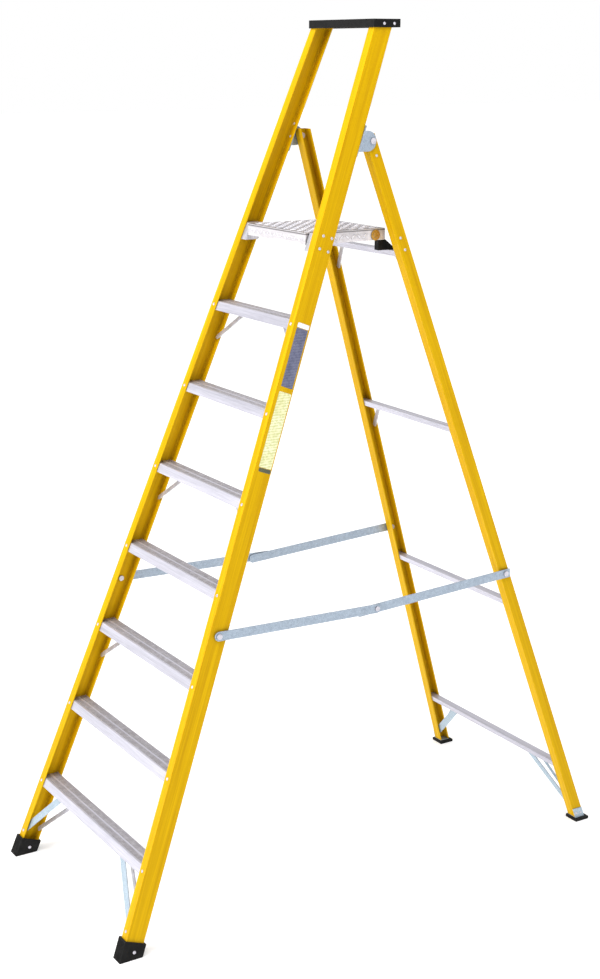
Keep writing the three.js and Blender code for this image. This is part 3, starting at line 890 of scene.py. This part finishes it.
def add_platform_details():
    low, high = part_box("platform_plate")
    bars = finishes["plate_bars"]
    across = Vector((high.x - low.x - 2 * PLATE_EDGE, 0, 0))
    back = Vector((0, high.y - low.y - 2 * PLATE_EDGE, 0))
    top_corner = Vector((low.x + PLATE_EDGE, low.y + PLATE_EDGE, high.z))
    top = chequer(top_corner, across, back, UP, CHEQUER_HEIGHT)
    make_piece("platform_chequer", "platform", bars, top)

    tall = Vector((0, 0, high.z - low.z - LIP_PLAIN))
    lip_corner = Vector((low.x + PLATE_EDGE, low.y, low.z + LIP_EDGE))
    lip = chequer(lip_corner, across, tall, Vector((0, -1, 0)), CHEQUER_HEIGHT * LIP_SHARE)
    make_piece("platform_lip_chequer", "platform", bars, lip)

    skirt_corner = Vector((high.x, low.y + PLATE_EDGE + SKIRT_START, low.z + LIP_EDGE))
    skirt_run = Vector((0, back.y - SKIRT_PLAIN, 0))
    skirt = chequer(skirt_corner, skirt_run, tall, OUTWARD, CHEQUER_HEIGHT * SKIRT_SHARE)
    make_pair("platform_skirt_chequer", "platform", bars, skirt)

    centre = Vector((high.x, high.y - BOSS_BACK, low.z + BOSS_RISE))
    boss = turned(BOSS_SHAPE, centre, OUTWARD, BOSS_AROUND)
    make_pair("platform_boss", "platform", finishes["gold_zinc"], [boss])


# ---- rear frame's short braces
LOWER_BRACE_IN = 0.0125                      # behind the back flange's face
LOWER_BRACE_TOP = (0.245, 0.180)             # x and height of each end
LOWER_BRACE_FOOT = (0.318, 0.098)
LOWER_BRACE_WIDTH, LOWER_BRACE_THICKNESS = 0.014, 0.0022


def add_lower_braces():
    """A short flat bar from the lowest crossbar to each long foot brace."""
    start, end = (
        Vector((x, rear_face(z) - LOWER_BRACE_IN, z)) for x, z in (LOWER_BRACE_TOP, LOWER_BRACE_FOOT)
    )
    bar = flat_bar(start, end, BACKWARD, LOWER_BRACE_WIDTH, LOWER_BRACE_THICKNESS)
    out = BACKWARD * (LOWER_BRACE_THICKNESS + PROUD)
    heads = [rivet(spot + out, BACKWARD, *BRACE_RIVET) for spot in (start, end)]
    make_pair("rear_lower_brace", "rear_frame", finishes["pale_zinc"], [bar, *heads])


# ---- label films, with nothing printed to read
LABEL_THICKNESS = 0.0003
LABEL_CORNER, CORNER_STEPS = 0.0025, 4
# name, lowest and highest point up the stile's front edge, nearest and farthest point from it, colour
LABELS = (
    ("label_white_strip", 1.738, 1.751, 0.013, 0.053, "white"),
    ("label_blue_panel", 1.574, 1.7365, 0.013, 0.052, "blue"),
    ("label_cream_panel", 1.351, 1.560, 0.012, 0.054, "cream"),
    ("label_dark_strip", 1.339, 1.3495, 0.014, 0.055, "dark"),
)


def on_stile(along, across):
    """A point on the right stile's outer web: height on its front edge, then square across the stile."""
    z = along - across * math.sin(FRONT_ANGLE)
    return Vector((front_side(z) + PROUD, front_face(along) + across * math.cos(FRONT_ANGLE), z))


def label_outline(low, high, near, far):
    """A rectangle on the web with its corners cut round."""
    outline = []
    for along, across, turn in ((low, near, 2), (low, far, 3), (high, far, 0), (high, near, 1)):
        middle_along = along + (LABEL_CORNER if along == low else -LABEL_CORNER)
        middle_across = across + (LABEL_CORNER if across == near else -LABEL_CORNER)
        for k in range(CORNER_STEPS + 1):
            angle = math.pi / 2 * (turn + k / CORNER_STEPS)
            outline.append(
                on_stile(
                    middle_along + LABEL_CORNER * math.sin(angle),
                    middle_across + LABEL_CORNER * math.cos(angle),
                )
            )
    return outline


FILM = dict(
    grain=MOULDED,
    grain_values={"Fineness": 500.0},
    worn=tone(245, 240, 225),
    roughness=0.3,
    coat=0.3,
    wear=0.3,
    bump=0.08,
    shade_and_grime=0.15,
    dust=0.05,
)
BLUE_BANDS = print_bands(tone(112, 115, 142), count=24, low=1.55, high=1.74)
CREAM_BANDS = print_bands(tone(186, 192, 96), count=30, low=1.33, high=1.56)
LABEL_COLOURS = {
    "white": (tone(236, 240, 248), tone(250, 252, 255), None),
    "blue": (tone(70, 74, 104), tone(88, 92, 124), BLUE_BANDS),
    "cream": (tone(238, 236, 182), tone(250, 249, 208), CREAM_BANDS),
    "dark": (tone(52, 56, 30), tone(84, 88, 44), None),
}


def add_labels():
    for name, low, high, near, far, colour in LABELS:
        dark, light, bands = LABEL_COLOURS[colour]
        title = name.replace("_", " ") + " film"
        finish = make_finish(title, dark=dark, light=light, over=bands, **FILM)
        shell = slab(label_outline(low, high, near, far), FRONT_OUT * LABEL_THICKNESS)
        make_piece(name, "front_frame", finish, [shell])


# ---- floor, light and camera
FLOOR_HALF = 60.0
FADE_START, FADE_END = 1.2, 4.5
FLOOR_GLOW, GLOW_NEAR = 0.55, 0.55


def make_floor():
    """A plain floor that brightens away from the ladder until it meets the backdrop with no line."""
    mesh = bpy.data.meshes.new("studio_floor")
    corners = [(x * FLOOR_HALF, y * FLOOR_HALF, 0) for x, y in ((-1, -1), (1, -1), (1, 1), (-1, 1))]
    mesh.from_pydata(corners, [], [(0, 1, 2, 3)])
    floor = bpy.data.objects.new("studio_floor", mesh)
    bpy.context.scene.collection.objects.link(floor)
    material = bpy.data.materials.new("plain pale floor")
    material.use_nodes = True
    tree = material.node_tree
    spot = object_spot(tree)
    colour = blended(tree, noise(tree, spot, 3.0), (0.90, 0.90, 0.90, 1), (0.93, 0.93, 0.93, 1))
    shader = tree.nodes["Principled BSDF"]
    tree.links.new(colour, shader.inputs["Base Color"])
    shader.inputs["Roughness"].default_value = 0.8
    away = place(tree, "ShaderNodeVectorMath", {0: spot}, operation="LENGTH").outputs["Value"]
    glow = spread(tree, away, FADE_START, FADE_END)
    shade = blended(tree, glow, (GLOW_NEAR, GLOW_NEAR, GLOW_NEAR, 1), (1, 1, 1, 1))
    tree.links.new(shade, shader.inputs["Emission Color"])
    shader.inputs["Emission Strength"].default_value = FLOOR_GLOW
    mesh.materials.append(material)


AIM = Vector((0, 0, 1.3))
# name, place, width, height, power
SOFTBOXES = (
    ("overhead_softbox", (0.6, -1.2, 5.6), 3.6, 3.6, 150.0),
    ("front_softbox", (0.2, -5.2, 2.6), 2.6, 2.6, 165.0),
    ("side_softbox", (4.9, 3.2, 1.2), 2.4, 1.7, 8.0),
)
WALL_LIGHT = 0.64                            # the white room's share of the light


def make_light():
    world = bpy.data.worlds.new("studio")
    bpy.context.scene.world = world
    world.use_nodes = True
    tree = world.node_tree
    seen = place(tree, "ShaderNodeLightPath").outputs["Is Camera Ray"]
    background = tree.nodes["Background"]
    tree.links.new(spread(tree, seen, 0.0, 1.0, WALL_LIGHT, 1.0), background.inputs["Strength"])
    background.inputs["Color"].default_value = (1, 1, 1, 1)
    for name, spot, width, height, power in SOFTBOXES:
        light = bpy.data.lights.new(name, "AREA")
        light.shape = "RECTANGLE"
        light.size, light.size_y, light.energy = width, height, power
        lamp = bpy.data.objects.new(name, light)
        lamp.location = spot
        lamp.rotation_euler = (AIM - Vector(spot)).to_track_quat("-Z", "Y").to_euler()
        lamp.visible_camera = False
        bpy.context.scene.collection.objects.link(lamp)
    bpy.context.scene.view_settings.view_transform = "Standard"


CAMERA_PLACE = (4.1572, -2.6907, 2.5014)
CAMERA_DOWN, CAMERA_TURN = 12.640, 58.694    # degrees
SENSOR_WIDTH, LENS = 36.0, 60.347
CAMERA_SHIFT = (0.0379, -0.0710)


def make_camera():
    data = bpy.data.cameras.new("studio_camera")
    data.sensor_width, data.lens = SENSOR_WIDTH, LENS
    data.shift_x, data.shift_y = CAMERA_SHIFT
    camera = bpy.data.objects.new("studio_camera", data)
    camera.location = CAMERA_PLACE
    camera.rotation_euler = (math.radians(90 - CAMERA_DOWN), 0, math.radians(CAMERA_TURN))
    bpy.context.scene.collection.objects.link(camera)
    bpy.context.scene.camera = camera


make_camera()
make_light()
make_floor()
finish_frame()
add_front_rivets()
add_platform_bracket_rivets()
add_hinge_rivets()
add_cap_rivets()
add_boot_details()
add_rear_rivets()
add_knuckle_rivets()
add_platform_details()
add_lower_braces()
add_labels()
